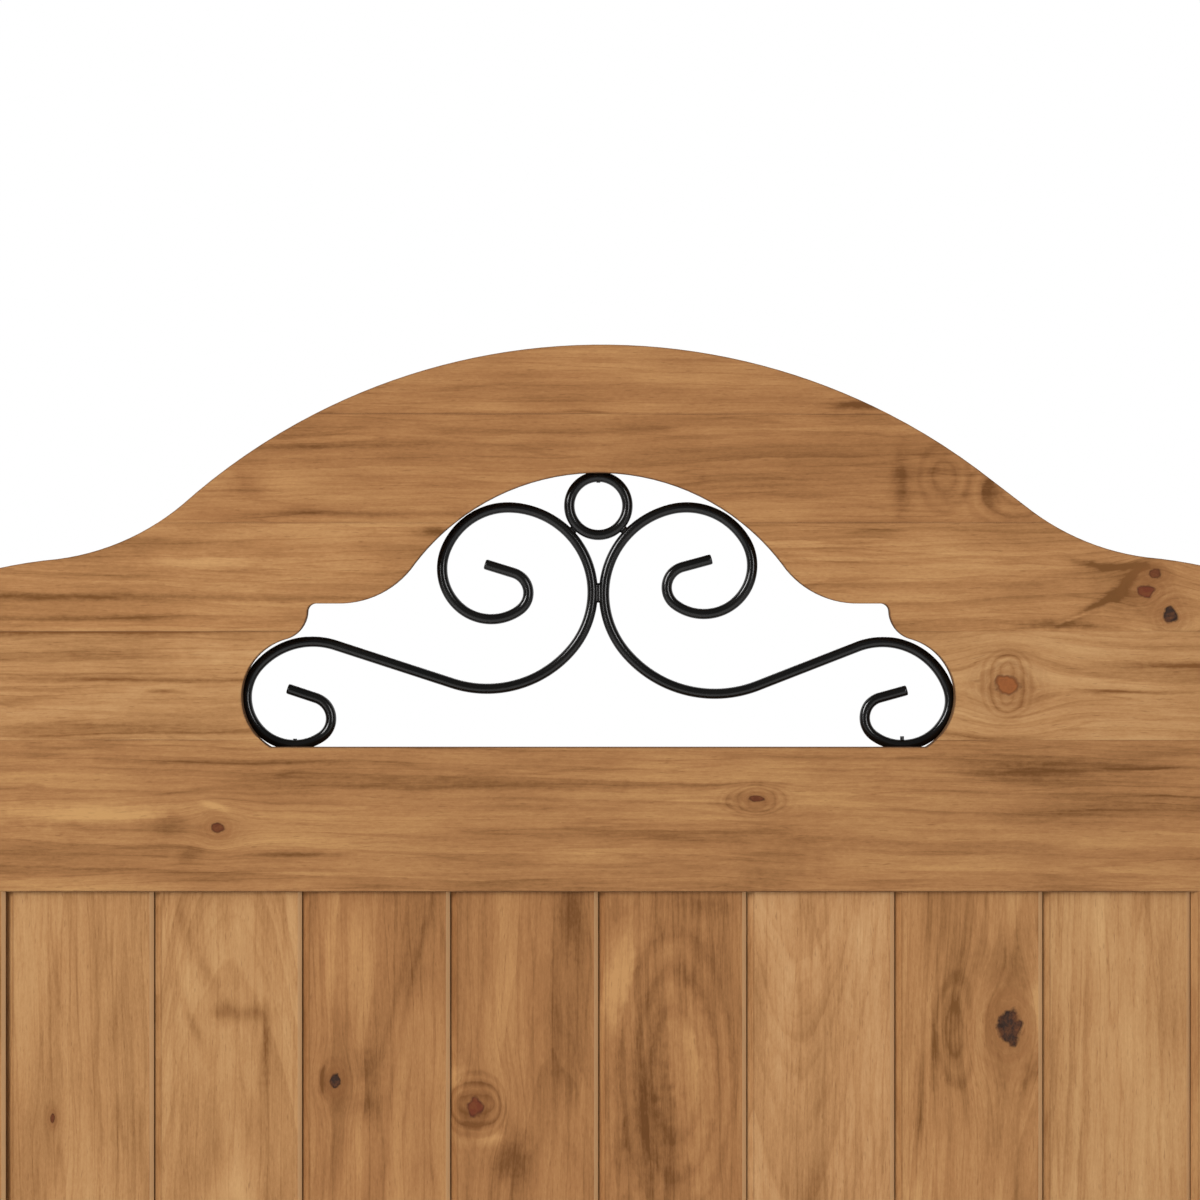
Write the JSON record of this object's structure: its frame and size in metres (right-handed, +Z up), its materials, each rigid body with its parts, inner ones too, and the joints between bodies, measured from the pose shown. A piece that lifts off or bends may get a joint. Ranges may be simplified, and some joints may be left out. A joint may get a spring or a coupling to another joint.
{
  "type": "garden gate",
  "caption": "Framed, ledged and braced boarded timber garden gate with a bell-topped head, a cut-out holding bent iron scrolls, hook-and-band hinges and a thumb latch",
  "frame": {"origin": "Centre of the four screw holes in the lower hook plate, on the hinge post's back face.", "axes": "+X from the hinge post to the latch post, +Y to the side the leaf opens to, +Z up. The leaf's front faces -Y and its back face lies at Y = 0."},
  "size_m": [1.0071, 0.1215, 1.83],
  "materials": {
    "pine": "honey-stained and waxed knotty pine",
    "oak": "plain oak pegs under the same stain",
    "scroll_iron": "satin black painted mild steel bar",
    "black_iron": "satin black painted iron",
    "screw_steel": "plain steel wood screws"
  },
  "bodies": {
    "post_side": {"upper_hook": "black_iron", "lower_hook": "black_iron", "latch_keep": "black_iron"},
    "leaf": {"head_stave_1": "pine", "head_stave_2_left": "pine", "head_stave_2_right": "pine", "head_stave_3_left": "pine", "head_stave_3_right": "pine", "head_stave_4": "pine", "head_stave_5": "pine", "hinge_stile": "pine", "latch_stile": "pine", "board_1": "pine", "board_2": "pine", "board_3": "pine", "board_4": "pine", "board_5": "pine", "board_6": "pine", "board_7": "pine", "board_8": "pine", "middle_ledge": "pine", "bottom_ledge": "pine", "upper_brace": "pine", "lower_brace": "pine", "joint_pegs": "oak", "head_screws": "screw_steel", "ledge_screws": "screw_steel", "brace_screws": "screw_steel", "left_scroll": "scroll_iron", "right_scroll": "scroll_iron", "crest_ring": "scroll_iron", "scroll_welds": "scroll_iron", "scroll_pins": "scroll_iron", "upper_strap": "black_iron", "lower_strap": "black_iron", "coach_bolts": "black_iron", "coach_nuts": "black_iron", "strap_screws": "black_iron", "latch_plate": "black_iron", "latch_grip": "black_iron", "thumb_pin": "black_iron", "latch_front_screws": "black_iron", "pivot_plate": "black_iron", "pivot_stud": "black_iron", "bar_guide": "black_iron", "latch_back_screws": "black_iron"},
    "thumb_press": {"thumb_press": "black_iron"},
    "latch_bar": {"latch_bar": "black_iron"}
  },
  "joints": [
    {"name": "gate_swing", "type": "hinge", "parent": "post_side", "child": "leaf", "pos_m": [0.0351, 0.0131, 0.0273], "axis": [0, 0, 1], "range_deg": [0, 110]},
    {"name": "thumb_tilt", "type": "hinge", "parent": "leaf", "child": "thumb_press", "pos_m": [0.9016, -0.055, 0.7959], "axis": [1, 0, 0], "range_deg": [0, 12]},
    {"name": "latch_lift", "type": "hinge", "parent": "leaf", "child": "latch_bar", "pos_m": [0.8016, 0.0063, 0.8123], "axis": [0, -1, 0], "range_deg": [0, 8.1]}
  ],
  "couplings": [
    {"joint": "latch_lift", "follows": "thumb_tilt", "ratio": 0.67}
  ]
}
